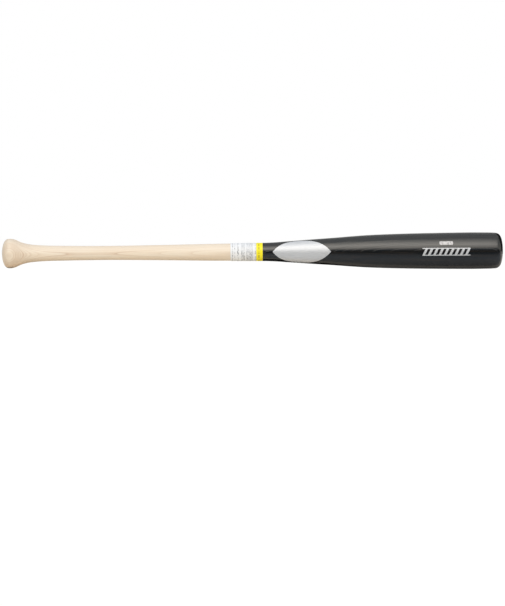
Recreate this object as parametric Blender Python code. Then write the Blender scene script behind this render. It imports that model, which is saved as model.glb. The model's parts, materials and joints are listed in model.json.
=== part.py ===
"""Wooden baseball bat, lying on its side along X, with the knob at -X and its foils facing -Y.

Each piece is drawn along the turning axis and hangs from one empty that lays the bat down.
There, X runs from the knob end to the barrel end, and an angle is measured round the axis
from straight up towards the front. All sizes are in metres.
"""

import math

import bmesh
import bpy
from mathutils import Vector

# Overall length, from the knob's end to the end of the black coat
BAT_LENGTH = 0.840

# The turner's template: how far from the knob's end, and the diameter of the bare wood there
KNOB_CREST = (0.0138, 0.0497)
FLARE_SHOULDER = (0.0220, 0.0465)
FLARE_HOLLOW = (0.0310, 0.0384)
FLARE_FOOT = (0.0440, 0.0314)
GRIP_START = (0.0760, 0.0261)
GRIP_WAIST = (0.1760, 0.0238)
GRIP_END = (0.2500, 0.0251)

# The same template from the handle on, measured from the barrel's end
HANDLE_END = (0.4740, 0.0287)
TAPER_START = (0.3920, 0.0300)
TAPER_FOOT = (0.3620, 0.0338)
TAPER_MIDDLE = (0.3200, 0.0399)
TAPER_HEAD = (0.2800, 0.0454)
BARREL_SHOULDER = (0.2300, 0.0528)
BARREL_FLANK = (0.1800, 0.0567)
BARREL_SWELL = (0.1200, 0.0591)
BARREL_BELLY = (0.0470, 0.0604)
BARREL_RIM = (0.0, 0.0586)

# Rounded ends: each has a flat in the middle, from which its face slopes back by the dome's depth
# and then turns the corner. A power of 2 makes that corner elliptical, a higher one squarer.
KNOB_FLAT_DIAMETER = 0.0120
KNOB_DOME_DEPTH = 0.0029
KNOB_ROUND_POWER = 3.1
BARREL_FLAT_DIAMETER = 0.0210
BARREL_DOME_DEPTH = 0.0023
BARREL_ROUND_DEPTH = 0.0150
BARREL_ROUND_POWER = 3.3

# Films on the wood, and the gap that each keeps to what it lies on or meets
SEAT_GAP = 0.0003
COAT_FILM = 0.0003
LABEL_FILM = 0.0003
FOIL_FILM = 0.0002

# How much of the bat is black, from the barrel's end to the line where the coat stops
COAT_LENGTH = 0.4024

# Yellow band next to the coat and white care label next to it, both lapped at the back
LABEL_WIDTH = 0.0430
BAND_WIDTH = 0.0105
LAP_LENGTH = 0.0080
LAP_RAMP = 0.0050

# Pointed oval foil on the taper, its width measured round the coat
LENS_FROM_PAINT = 0.0165
LENS_LENGTH = 0.0975
LENS_WIDTH = 0.0460

# Rope border foil on the barrel: slanted bars between two rules
ROPE_FROM_END = 0.0560
ROPE_LENGTH = 0.0800
ROPE_WIDTH = 0.0130
ROPE_RULE = 0.0014
ROPE_BARS = 9
ROPE_BAR_WIDTH = 0.0042
ROPE_SLANT = 0.0050
ROPE_ANGLE = 93.0

# Small foil tab above the rope border
TAB_FROM_END = 0.0850
TAB_LENGTH = 0.0225
TAB_WIDTH = 0.0064
TAB_CORNER = 0.0016
TAB_ANGLE = 65.0

# Angles round the axis, in degrees: the lens faces front and the laps face back
FRONT_ANGLE = 90.0
BACK_ANGLE = 270.0

# Fineness of the faceted solids
ROUND_SIDES = 48
END_RINGS = 6
RING_SPACING = 0.028
LEAST_RINGS = 2
CLOSEST_RINGS = 0.002
LENS_STEPS = 20
LENS_CROSS_STEPS = 12
TAB_CROSS_STEPS = 2
CORNER_STEPS = 4
BAR_STEPS = 4
WELD = 0.000001

# What follows from the sizes above
COAT_START = BAT_LENGTH - COAT_LENGTH
BAND_START = COAT_START - SEAT_GAP - BAND_WIDTH
LABEL_START = BAND_START - SEAT_GAP - LABEL_WIDTH
COAT_STAND = SEAT_GAP + COAT_FILM
WOOD_LENGTH = BAT_LENGTH - COAT_STAND


def turning_template():
    """The template's stations in order along the billet, as (along, radius)."""
    from_knob = (
        KNOB_CREST, FLARE_SHOULDER, FLARE_HOLLOW, FLARE_FOOT,
        GRIP_START, GRIP_WAIST, GRIP_END,
    )
    from_barrel = (
        HANDLE_END, TAPER_START, TAPER_FOOT, TAPER_MIDDLE, TAPER_HEAD,
        BARREL_SHOULDER, BARREL_FLANK, BARREL_SWELL, BARREL_BELLY, BARREL_RIM,
    )
    stations = [(along, diameter / 2) for along, diameter in from_knob]
    stations += [(WOOD_LENGTH - back, diameter / 2) for back, diameter in from_barrel]
    return stations


def station_slopes(stations):
    """Slope at each station: level at a crest or a waist, so that the curve never overshoots."""
    runs = []
    for (start, low), (end, high) in zip(stations, stations[1:]):
        runs.append((end - start, (high - low) / (end - start)))
    slopes = [0.0]
    for (run_in, slope_in), (run_out, slope_out) in zip(runs, runs[1:]):
        if slope_in * slope_out <= 0:
            slopes.append(0.0)
            continue
        weight_in = run_in + 2 * run_out
        weight_out = run_out + 2 * run_in
        total = weight_in + weight_out
        slopes.append(total / (weight_in / slope_in + weight_out / slope_out))
    slopes.append(runs[-1][1])
    return slopes


STATIONS = turning_template()
SLOPES = station_slopes(STATIONS)


def template_radius(along):
    """Radius read from the template, on a cubic curve between the two stations around it."""
    span = 0
    while span < len(STATIONS) - 2 and along > STATIONS[span + 1][0]:
        span += 1
    (start, low), (end, high) = STATIONS[span:span + 2]
    run = end - start
    share = min(max((along - start) / run, 0.0), 1.0)
    rise = 3 * share**2 - 2 * share**3
    lead_in = share * (1 - share) ** 2
    lead_out = share**2 * (share - 1)
    bend = run * (lead_in * SLOPES[span] + lead_out * SLOPES[span + 1])
    return low + (high - low) * rise + bend


def quarter_round(power):
    """Shares of depth and of radius along a rounded edge, from the end flat to the full radius."""
    shares = []
    for ring in range(END_RINGS + 1):
        turn = math.pi / 2 * ring / END_RINGS
        depth = 1 - max(math.cos(turn), 0.0) ** (2 / power)
        shares.append((depth, math.sin(turn) ** (2 / power)))
    return shares


def billet_outline():
    """Outline of the bare wood as (along, radius), from pole to pole."""
    crest, crest_radius = STATIONS[0]
    outline = [(0.0, 0.0)]
    flat = KNOB_FLAT_DIAMETER / 2
    for depth, share in quarter_round(KNOB_ROUND_POWER):
        along = KNOB_DOME_DEPTH * share + (crest - KNOB_DOME_DEPTH) * depth
        outline.append((along, flat + (crest_radius - flat) * share))

    corner = WOOD_LENGTH - BARREL_ROUND_DEPTH
    ends = [along for along, _ in STATIONS if along < corner - CLOSEST_RINGS] + [corner]
    for start, end in zip(ends, ends[1:]):
        rings = max(LEAST_RINGS, round((end - start) / RING_SPACING))
        for ring in range(1, rings + 1):
            along = start + (end - start) * ring / rings
            outline.append((along, template_radius(along)))

    flat = BARREL_FLAT_DIAMETER / 2
    for depth, share in reversed(quarter_round(BARREL_ROUND_POWER)[:-1]):
        back = BARREL_DOME_DEPTH * share + (BARREL_ROUND_DEPTH - BARREL_DOME_DEPTH) * depth
        along = WOOD_LENGTH - back
        outline.append((along, flat + (template_radius(along) - flat) * share))
    outline.append((WOOD_LENGTH, 0.0))
    return outline


def offset_outline(outline, distance):
    """The outline moved out square to each of its runs. Its last point is on the axis."""
    normals = []
    for (start, low), (end, high) in zip(outline, outline[1:]):
        normals.append(Vector((low - high, end - start)).normalized())
    moved = []
    for point, before, after in zip(outline, normals[:1] + normals, normals + normals[-1:]):
        mitre = (before + after) / (1 + before.dot(after))
        moved.append((point[0] + distance * mitre[0], point[1] + distance * mitre[1]))
    moved[-1] = (moved[-1][0], 0.0)
    return moved


def coat_outlines(billet):
    """Inner and outer outlines of the black coat, from the paint line round to the barrel's end."""
    covered = [(COAT_START, template_radius(COAT_START))]
    covered += [point for point in billet if point[0] > COAT_START + CLOSEST_RINGS]
    return offset_outline(covered, SEAT_GAP), offset_outline(covered, COAT_STAND)


def on_wood(along, angle, lift):
    """A point of a film on the bare handle, lifted off its seat there."""
    radius = template_radius(along) + SEAT_GAP + lift
    return Vector((along, -radius * math.sin(angle), radius * math.cos(angle)))


def on_coat(along, around, centre_angle):
    """A point of a foil on the black coat, a distance around the coat from its centre line."""
    radius = template_radius(along) + COAT_STAND + SEAT_GAP
    angle = math.radians(centre_angle) + around / radius
    return Vector((along, -radius * math.sin(angle), radius * math.cos(angle)))


def surface_material(name, colour, roughness, metallic=0.0):
    material = bpy.data.materials.new(name)
    material.use_nodes = True
    shader = material.node_tree.nodes["Principled BSDF"]
    shader.inputs["Base Color"].default_value = (*colour, 1.0)
    shader.inputs["Roughness"].default_value = roughness
    shader.inputs["Metallic"].default_value = metallic
    material.diffuse_color = (*colour, 1.0)
    return material


def add_piece(name, bm, material, axis):
    """Turns the bmesh into one named object that hangs from the turning axis."""
    mesh = bpy.data.meshes.new(name)
    bm.to_mesh(mesh)
    bm.free()
    mesh.materials.append(material)
    mesh.shade_smooth()
    mesh.set_sharp_from_angle(angle=math.radians(30))
    piece = bpy.data.objects.new(name, mesh)
    bpy.context.scene.collection.objects.link(piece)
    piece.parent = axis
    return piece


def add_turned(name, outline, material, axis):
    """A closed outline spun round the axis, with one flat of the faceted round facing down."""
    bm = bmesh.new()
    half_side = math.pi / ROUND_SIDES
    rim = []
    for along, radius in outline:
        rim.append(bm.verts.new((along, -radius * math.sin(half_side), radius * math.cos(half_side))))
    runs = [bm.edges.new(ends) for ends in zip(rim, rim[1:])]
    bmesh.ops.spin(
        bm, geom=rim + runs, cent=(0, 0, 0), axis=(1, 0, 0),
        angle=2 * math.pi, steps=ROUND_SIDES, use_merge=True,
    )
    bmesh.ops.remove_doubles(bm, verts=bm.verts[:], dist=WELD)
    bmesh.ops.recalc_face_normals(bm, faces=bm.faces[:])
    return add_piece(name, bm, material, axis)


def add_film(name, cells, thickness, material, axis):
    """Cells of four corners each, welded into a curved sheet and thickened outwards."""
    bm = bmesh.new()
    for corners in cells:
        bm.faces.new([bm.verts.new(corner) for corner in corners])
    bmesh.ops.remove_doubles(bm, verts=bm.verts[:], dist=WELD)
    piece = add_piece(name, bm, material, axis)
    film = piece.modifiers.new("film", "SOLIDIFY")
    film.thickness = thickness
    film.offset = 1.0
    return piece


def grid_cells(columns):
    """The cells between neighbouring columns of points, facing away from the axis."""
    cells = []
    for here, there in zip(columns, columns[1:]):
        for low in range(len(here) - 1):
            cells.append((here[low], here[low + 1], there[low + 1], there[low]))
    return cells


def wrap_cells(start, width):
    """A strip wrapped once round the handle from the back, its end lapped over its start."""
    radius = template_radius(start + width / 2) + SEAT_GAP
    ramp = LAP_RAMP / radius
    lap = LAP_LENGTH / radius
    side = 2 * math.pi / ROUND_SIDES
    turns = [side * step for step in range(ROUND_SIDES) if side * step < 2 * math.pi - ramp]
    turns += [2 * math.pi - ramp, 2 * math.pi - ramp / 2, 2 * math.pi]
    turns += [2 * math.pi + lap / 2, 2 * math.pi + lap]
    columns = []
    for along in (start, start + width / 2, start + width):
        column = []
        for turned in turns:
            climb = min(max((turned - 2 * math.pi) / ramp + 1, 0.0), 1.0)
            lift = (LABEL_FILM + SEAT_GAP) * climb
            column.append(on_wood(along, math.radians(BACK_ANGLE) + turned, lift))
        columns.append(column)
    return grid_cells(columns)


def plate_cells(middle, outline, rows, centre_angle):
    """A foil on the coat, from its outline: half its width at each distance from its middle."""
    columns = []
    for from_middle, half_width in outline:
        column = []
        for row in range(rows + 1):
            around = half_width * (2 * row / rows - 1)
            column.append(on_coat(middle + from_middle, around, centre_angle))
        columns.append(column)
    return grid_cells(columns)


def lens_outline():
    """Half widths of the pointed oval, which two arcs bound."""
    half_length = LENS_LENGTH / 2
    half_width = LENS_WIDTH / 2
    arc_radius = (half_length**2 + half_width**2) / (2 * half_width)
    outline = []
    for step in range(LENS_STEPS + 1):
        from_middle = LENS_LENGTH * (step / LENS_STEPS - 0.5)
        rise = math.sqrt(arc_radius**2 - from_middle**2) - arc_radius
        outline.append((from_middle, max(half_width + rise, 0.0)))
    return outline


def tab_outline():
    """Half widths of the tab, which a quarter circle rounds off at each corner."""
    left_end = []
    for step in range(CORNER_STEPS + 1):
        turn = math.pi / 2 * step / CORNER_STEPS
        from_middle = TAB_CORNER * (1 - math.cos(turn)) - TAB_LENGTH / 2
        left_end.append((from_middle, TAB_WIDTH / 2 - TAB_CORNER * (1 - math.sin(turn))))
    return left_end + [(-from_middle, half_width) for from_middle, half_width in left_end[::-1]]


def rope_cells():
    """Two rules joined by slanted bars, laid round the barrel's front."""
    start = BAT_LENGTH - ROPE_FROM_END - ROPE_LENGTH
    pitch = (ROPE_LENGTH - ROPE_SLANT - ROPE_BAR_WIDTH) / (ROPE_BARS - 1)
    feet = [start + pitch * bar for bar in range(ROPE_BARS)]
    bar_height = ROPE_WIDTH - 2 * ROPE_RULE
    levels = [bar_height * (step / BAR_STEPS - 0.5) for step in range(BAR_STEPS + 1)]

    def lean(level):
        return ROPE_SLANT * (0.5 - level / bar_height)

    outlines = []
    for near, far in ((levels[0], -ROPE_WIDTH / 2), (levels[-1], ROPE_WIDTH / 2)):
        cuts = [start, start + ROPE_LENGTH]
        for foot in feet:
            cuts += [foot + lean(near), foot + lean(near) + ROPE_BAR_WIDTH]
        cuts.sort()
        top, bottom = sorted((near, far))
        for left, right in zip(cuts, cuts[1:]):
            if right - left > WELD:
                outlines.append(((left, top), (left, bottom), (right, bottom), (right, top)))
    for foot in feet:
        for top, bottom in zip(levels, levels[1:]):
            left_top = foot + lean(top)
            left_bottom = foot + lean(bottom)
            outlines.append((
                (left_top, top), (left_bottom, bottom),
                (left_bottom + ROPE_BAR_WIDTH, bottom), (left_top + ROPE_BAR_WIDTH, top),
            ))
    return [[on_coat(along, around, ROPE_ANGLE) for along, around in cell] for cell in outlines]


def lay_on_floor(axis, billet, coat):
    """Tilts and lifts the axis so that the knob's crest and the belly both touch Z = 0."""
    flat = math.cos(math.pi / ROUND_SIDES)
    crest, crest_radius = STATIONS[0]
    slope = max((radius - crest_radius) * flat / (along - crest) for along, radius in coat)
    angle = math.atan(slope)
    rings = [ring for ring in billet if ring[0] < COAT_START] + coat
    depths = [radius * flat * math.cos(angle) - along * math.sin(angle) for along, radius in rings]
    ends = []
    for along, radius in rings:
        for height in (-radius * flat, radius * flat):
            ends.append(along * math.cos(angle) - height * math.sin(angle))
    axis.rotation_euler = (0.0, -angle, 0.0)
    axis.location = (-(min(ends) + max(ends)) / 2, 0.0, max(depths))


def build_bat():
    for old in list(bpy.data.objects):
        bpy.data.objects.remove(old, do_unlink=True)

    wood = surface_material("pale maple", (0.81, 0.70, 0.53), 0.45)
    black = surface_material("black lacquer", (0.012, 0.012, 0.013), 0.22)
    white = surface_material("white film", (0.87, 0.87, 0.85), 0.55)
    yellow = surface_material("yellow film", (0.95, 0.83, 0.03), 0.50)
    silver = surface_material("silver foil", (0.62, 0.62, 0.63), 0.35, metallic=0.6)

    axis = bpy.data.objects.new("turning_axis", None)
    bpy.context.scene.collection.objects.link(axis)

    billet = billet_outline()
    inner, outer = coat_outlines(billet)
    add_turned("billet", billet, wood, axis)
    add_turned("barrel_coat", inner[::-1] + outer, black, axis)

    label = wrap_cells(LABEL_START, LABEL_WIDTH)
    add_film("care_label", label, LABEL_FILM, white, axis)
    band = wrap_cells(BAND_START, BAND_WIDTH)
    add_film("yellow_band", band, LABEL_FILM, yellow, axis)

    lens_middle = COAT_START + LENS_FROM_PAINT + LENS_LENGTH / 2
    lens = plate_cells(lens_middle, lens_outline(), LENS_CROSS_STEPS, FRONT_ANGLE)
    add_film("lens_foil", lens, FOIL_FILM, silver, axis)
    add_film("rope_foil", rope_cells(), FOIL_FILM, silver, axis)
    tab_middle = BAT_LENGTH - TAB_FROM_END - TAB_LENGTH / 2
    tab = plate_cells(tab_middle, tab_outline(), TAB_CROSS_STEPS, TAB_ANGLE)
    add_film("tab_foil", tab, FOIL_FILM, silver, axis)

    lay_on_floor(axis, billet, outer)


build_bat()
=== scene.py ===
# %% [markdown]
# # A turned baseball bat, dressed for its photograph
#
# The real bat is one length of pale maple, turned on a lathe. The handle is left bare, the barrel
# is dipped in black lacquer, and thin films are wrapped or stamped on top: a white care label, a
# yellow band and three plain silver foils. The measured model already holds all of these pieces,
# at their real sizes, as coarse solids. This lesson keeps every size and makes each surface
# finer, gives it a finish, and lights it like the studio photograph.

# %% Load the measured model
import json
import math

import bpy
from mathutils import Matrix, Vector


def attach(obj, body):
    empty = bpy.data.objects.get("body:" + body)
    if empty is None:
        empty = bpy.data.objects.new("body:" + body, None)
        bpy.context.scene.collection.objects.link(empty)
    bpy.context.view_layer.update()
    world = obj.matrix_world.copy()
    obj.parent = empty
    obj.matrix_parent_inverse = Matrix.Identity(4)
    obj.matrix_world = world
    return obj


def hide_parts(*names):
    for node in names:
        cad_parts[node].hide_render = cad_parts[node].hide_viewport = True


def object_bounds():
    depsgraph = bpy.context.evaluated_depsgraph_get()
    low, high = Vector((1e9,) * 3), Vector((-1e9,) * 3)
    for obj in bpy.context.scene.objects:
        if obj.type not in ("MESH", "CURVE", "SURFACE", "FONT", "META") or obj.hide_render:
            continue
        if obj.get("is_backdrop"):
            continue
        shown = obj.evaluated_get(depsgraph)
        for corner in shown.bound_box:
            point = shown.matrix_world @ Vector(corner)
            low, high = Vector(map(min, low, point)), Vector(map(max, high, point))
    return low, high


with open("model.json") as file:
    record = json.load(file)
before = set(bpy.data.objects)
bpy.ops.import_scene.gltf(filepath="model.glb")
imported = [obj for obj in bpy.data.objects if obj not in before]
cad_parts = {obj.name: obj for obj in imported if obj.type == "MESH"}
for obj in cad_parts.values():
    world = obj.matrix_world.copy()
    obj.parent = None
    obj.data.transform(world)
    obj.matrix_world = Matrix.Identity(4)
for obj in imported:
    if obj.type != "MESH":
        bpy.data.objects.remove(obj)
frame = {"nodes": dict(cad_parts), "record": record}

CAD_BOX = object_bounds()
print("measured pieces:", ", ".join(sorted(frame["nodes"])))

# %% [markdown]
# ## The bench
#
# A round piece is easiest to draw as it sits on the lathe: the axis level, the knob at zero. The
# finished bat lies on the floor instead, on its knob and its belly, so its axis climbs a little.
# The record names the middle of each end, and those two points give the axis. Everything is made
# on the bench, and one matrix, LAY, puts it down where the measured pieces are.

# %% Find the turning axis
ENDS = {mount["name"]: Vector(mount["pos_m"]) for mount in frame["record"]["mounts"]}
KNOB_END = ENDS["knob_end"]
AXIS = (ENDS["barrel_end"] - KNOB_END).normalized()
LAY = Matrix.Translation(KNOB_END) @ AXIS.to_track_quat("X", "Z").to_matrix().to_4x4()
TO_BENCH = LAY.inverted()
print(f"the axis climbs {math.degrees(math.asin(AXIS.z)):.3f} degrees towards the barrel")


# %% Read a measured piece in bench coordinates
def bench_points(node):
    """Each corner as (along, angle, radius), the angle turned from straight up to the front."""
    points = []
    for vertex in frame["nodes"][node].data.vertices:
        along, across, up = TO_BENCH @ vertex.co
        points.append((along, math.atan2(-across, up), math.hypot(across, up)))
    return points


def reach(node):
    """Where a piece starts and stops along the bat."""
    places = [along for along, _, _ in bench_points(node)]
    return min(places), max(places)


COAT_START, COAT_END = reach("barrel_coat")
print(f"the lacquer covers {1000 * (COAT_END - COAT_START):.1f} mm of {1000 * COAT_END:.1f} mm")

# %% [markdown]
# ## The camera
#
# The photograph was taken level with the bat through a long lens, so nothing converges. The frame
# is 505 by 606 pixels, and the bat fills 500 of them, which makes one pixel 1.679 mm. The bat lies
# 51 pixels above the middle of the frame. Tilting the camera down a little puts it there, and just
# under a tenth of a degree of roll matches how the photographer held the camera.

# %% Set up the camera
BAT_LENGTH = 0.840
BAT_PIXELS = 499.8
FRAME_PIXELS = 606
PIXEL = BAT_LENGTH / BAT_PIXELS
FRAME_HEIGHT = FRAME_PIXELS * PIXEL
ABOVE_MIDDLE = 51.0 * PIXEL
RIGHT_OF_MIDDLE = 0.3 * PIXEL
ROLL = math.radians(0.085)
CAMERA_DISTANCE = 4.0
SENSOR = 36.0
SEES_UNTIL = 100.0

lens_data = bpy.data.cameras.new("camera")
lens_data.sensor_width = SENSOR
lens_data.lens = SENSOR * CAMERA_DISTANCE / FRAME_HEIGHT
lens_data.clip_end = SEES_UNTIL
camera = bpy.data.objects.new("camera", lens_data)
bpy.context.scene.collection.objects.link(camera)
middle_height = (KNOB_END.z + ENDS["barrel_end"].z) / 2
tilt = math.atan(ABOVE_MIDDLE / CAMERA_DISTANCE)
aim = Matrix.Rotation(math.pi / 2 - tilt, 4, "X") @ Matrix.Rotation(ROLL, 4, "Z")
camera.matrix_world = Matrix.Translation((RIGHT_OF_MIDDLE, -CAMERA_DISTANCE, middle_height)) @ aim
bpy.context.scene.camera = camera
print(f"lens {lens_data.lens:.1f} mm at {CAMERA_DISTANCE} m, tilted {math.degrees(tilt):.2f} degrees")

# %% [markdown]
# ## Small helpers for nodes
#
# Finishes and geometry trees are both made of nodes. A node is added, its options are set, and each
# input takes either a plain value or another node's output. Written out, that is a line for each
# step, so one helper, wire, does all three. The others are short names for what comes up again and
# again: sums, mixed colours, rescaled numbers, ramps, noise, relief and a new finish.


# %% Node helpers
def wire(tree, kind, inputs=None, **options):
    """Adds a node. An input's value may be a number, a colour, a name or another node's output."""
    made = tree.nodes.new(kind)
    for name, value in options.items():
        setattr(made, name, value)
    for name, value in (inputs or {}).items():
        if isinstance(value, bpy.types.NodeSocket):
            tree.links.new(value, made.inputs[name])
        else:
            made.inputs[name].default_value = value
    return made


def calc(tree, operation, *values):
    """One operation of a Math node, such as ADD or FLOOR."""
    return wire(tree, "ShaderNodeMath", dict(enumerate(values)), operation=operation).outputs[0]


def tint(tree, share, low, high):
    """A colour between two others."""
    return wire(tree, "ShaderNodeMix", {0: share, 6: low, 7: high}, data_type="RGBA").outputs[2]


def rescale(tree, value, low, high, first=0.0, last=1.0):
    """Turns the span from low to high into the span from first to last, and goes no further."""
    spans = {0: value, 1: low, 2: high, 3: first, 4: last}
    return wire(tree, "ShaderNodeMapRange", spans).outputs[0]


# %% Helpers for colours and patterns
NOISE_SPAN = (0.3, 0.7)


def grey(level, cast=(1, 1, 1)):
    """A grey, or with a cast one that leans towards a colour."""
    return tuple(part * level for part in cast) + (1,)


def colour_ramp(tree, share, stops, interpolation="LINEAR"):
    """Colours along a share. A stop is (position, colour), the first at 0 and the last at 1."""
    node = wire(tree, "ShaderNodeValToRGB", {"Fac": share})
    node.color_ramp.interpolation = interpolation
    elements = node.color_ramp.elements
    elements[0].color, elements[1].color = stops[0][1], stops[-1][1]
    for position, colour in stops[1:-1]:
        elements.new(position).color = colour
    return node.outputs["Color"]


def noise(tree, place, scale, detail):
    """Soft noise, mostly within NOISE_SPAN. In a scale of three, a small number draws it out."""
    if isinstance(scale, tuple):
        stretched = {0: place, 1: scale}
        place = wire(tree, "ShaderNodeVectorMath", stretched, operation="MULTIPLY").outputs[0]
        scale = 1
    look = {"Vector": place, "Scale": scale, "Detail": detail}
    return wire(tree, "ShaderNodeTexNoise", look).outputs["Fac"]


def relief(tree, shader, height, strength, distance):
    """Lets the light see a pattern's height, which the mesh doesn't have."""
    settings = {"Height": height, "Strength": strength, "Distance": distance}
    tree.links.new(wire(tree, "ShaderNodeBump", settings).outputs[0], shader.inputs["Normal"])


def finish(name, **settings):
    """A new material, its tree and its Principled shader with some plain settings."""
    material = bpy.data.materials.new(name)
    material.use_nodes = True
    shader = material.node_tree.nodes["Principled BSDF"]
    for socket, value in settings.items():
        shader.inputs[socket.replace("_", " ")].default_value = value
    return material, material.node_tree, shader


# %% [markdown]
# ## The grain of the maple
#
# A tree grows in rings round its pith, and a bat is split from the wood well outside the pith. So
# the rings in it are parts of wide cylinders whose axis lies behind the bat, nearly in line with
# it. Turning cuts through them: on the handle they show as long streaks, and on the swelling knob
# as closed loops, like the contour lines of a hill. A painted picture of grain would have to be
# faked at each of these places. A solid texture gets them right by itself, because it only asks
# how far a point of the bat is from the pith.
#
# Within one ring the wood darkens slowly towards a thin dark line and then starts pale again. No
# two years were alike, so each ring draws its own strength from its number. In the outer rings,
# those that the knob cuts, the dark late wood takes a wider share.

# %% Growth rings and fibres
RING_WIDTH = 0.0012
PITH = (-0.275, 0.11277, 0.040)
PITH_LEAN = 0.0064
RING_WANDER = 0.0003
WANDER_SCALE = (5, 22, 22)
FIBRE_SCALE = (5, 520, 520)
FIRST_YEAR = 4277
FAINTEST_YEAR = 0.35
OUTER_YEARS = (104, 108)
OUTER_POWER = 0.6
SEASON_GREYS = [
    (0.0, 0.0), (0.5, 0.06), (0.78, 0.34), (0.87, 0.46), (0.93, 0.62), (0.97, 1.0), (1.0, 0.0),
]


def grain(tree):
    """How much late wood each point has and how its fibres vary, both 0 to 1, and its place."""
    place = wire(tree, "ShaderNodeTexCoord").outputs["Object"]
    from_pith = wire(
        tree, "ShaderNodeMapping",
        {"Vector": place, "Location": PITH, "Rotation": (0, 0, PITH_LEAN)}, vector_type="TEXTURE",
    ).outputs[0]
    across = wire(tree, "ShaderNodeVectorMath", {0: from_pith, 1: (0, 1, 1)}, operation="MULTIPLY")
    distance = wire(tree, "ShaderNodeVectorMath", {0: across.outputs[0]}, operation="LENGTH")
    offset = calc(tree, "MULTIPLY", noise(tree, place, WANDER_SCALE, 2), RING_WANDER)
    ring = calc(tree, "DIVIDE", calc(tree, "ADD", distance.outputs["Value"], offset), RING_WIDTH)
    year = calc(tree, "FLOOR", ring)
    power = rescale(tree, year, *OUTER_YEARS, 1.0, OUTER_POWER)
    season = calc(tree, "POWER", calc(tree, "FRACT", ring), power)
    stops = [(position, grey(level)) for position, level in SEASON_GREYS]
    late = colour_ramp(tree, season, stops, "EASE")
    numbered = calc(tree, "ADD", year, FIRST_YEAR)
    vintage = wire(tree, "ShaderNodeTexWhiteNoise", {"W": numbered}, noise_dimensions="1D")
    strength = rescale(tree, vintage.outputs["Value"], 0.0, 1.0, FAINTEST_YEAR)
    late_share = calc(tree, "MULTIPLY", late, strength)
    return late_share, noise(tree, place, FIBRE_SCALE, 4), place


# %% [markdown]
# ## Bare maple
#
# The handle is sanded and sealed: pale wood under a thin, dull clear coat. Its colour is built in
# layers, each a mix towards one more colour: broad warm patches, the rings, then fine brown fibres.
# Where the turning cuts across the fibres, at the knob, their open ends soak up more sealer, so the
# wood is darker there and its rings stand out. The lathe, further down, notes on every corner how
# far its skin faces along the bat. That note stays with the mesh wherever it goes, and the finish
# reads it here as end_grain.

# %% The maple finish
END_GRAIN = "end_grain"
PALE_WOOD = (0.825, 0.723, 0.58, 1)
WARM_WOOD = (0.795, 0.665, 0.508, 1)
LATE_WOOD = (0.58, 0.41, 0.28, 1)
BROWN_FIBRE = (0.62, 0.455, 0.32, 1)
SOAKED_WOOD = (0.69, 0.56, 0.42, 1)
PATCH_SCALE = (9, 90, 90)
PATCH_SPAN = (0.35, 0.7)
PORE_SCALE = (70, 2600, 2600)
BOLDER_SPAN = (0.04, 0.25)
SOAKED_SPAN = (0.05, 0.4)
BOLDEST_RING = 2.8
MOST_FIBRE = 0.22
MOST_SOAKED = 0.4
FIBRE_HEIGHT = 0.6

maple, tree, shader = finish("pale maple", Roughness=0.6, Coat_Weight=0.35, Coat_Roughness=0.5)
late_share, fibres, place = grain(tree)
end_grain = wire(tree, "ShaderNodeAttribute", attribute_name=END_GRAIN).outputs["Fac"]
patches = rescale(tree, noise(tree, place, PATCH_SCALE, 3), *PATCH_SPAN)
patchy = tint(tree, patches, PALE_WOOD, WARM_WOOD)
bolder = rescale(tree, end_grain, *BOLDER_SPAN, 1.0, BOLDEST_RING)
ringed = tint(tree, calc(tree, "MULTIPLY", late_share, bolder), patchy, LATE_WOOD)
streaks = rescale(tree, fibres, *NOISE_SPAN, 0.0, MOST_FIBRE)
streaked = tint(tree, streaks, ringed, BROWN_FIBRE)
soaked = rescale(tree, end_grain, *SOAKED_SPAN, 0.0, MOST_SOAKED)
tree.links.new(tint(tree, soaked, streaked, SOAKED_WOOD), shader.inputs["Base Color"])
pores = noise(tree, place, PORE_SCALE, 2)
height = calc(tree, "ADD", calc(tree, "MULTIPLY", fibres, FIBRE_HEIGHT), pores)
relief(tree, shader, height, strength=0.25, distance=0.00004)
print("finish:", maple.name, "-", len(tree.nodes), "nodes")

# %% [markdown]
# ## Black lacquer
#
# The lacquer is nearly black and very glossy, but it is thin. It sinks over the dark lines of the
# rings and between the fibres, and what a viewer sees of the grain is mostly how it breaks up the
# reflections. So this finish takes the same grain as the wood and uses it as relief, with only a
# trace of brown where the grain is open. The reflections are strong and very slightly warm, which
# are plain numbers on the shader.

# %% The lacquer finish
BLACK = (0.0050, 0.0060, 0.0066, 1)
BLACK_ON_LATE_WOOD = (0.0082, 0.0076, 0.0068, 1)
OPEN_GRAIN = (0.018, 0.0140, 0.0110, 1)
OPEN_SPAN = (0.46, 0.7)
WARM_GLOSS = (1.0, 0.98, 0.95, 1)

lacquer, tree, shader = finish("black lacquer", Roughness=0.09, IOR=1.75, Specular_Tint=WARM_GLOSS)
late_share, fibres, _ = grain(tree)
deep = tint(tree, late_share, BLACK, BLACK_ON_LATE_WOOD)
warmed = tint(tree, rescale(tree, fibres, *OPEN_SPAN), deep, OPEN_GRAIN)
tree.links.new(warmed, shader.inputs["Base Color"])
sunk = calc(tree, "SUBTRACT", calc(tree, "MULTIPLY", fibres, FIBRE_HEIGHT), late_share)
relief(tree, shader, sunk, strength=0.9, distance=0.00014)
print("finish:", lacquer.name, "-", len(tree.nodes), "nodes")
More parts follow.
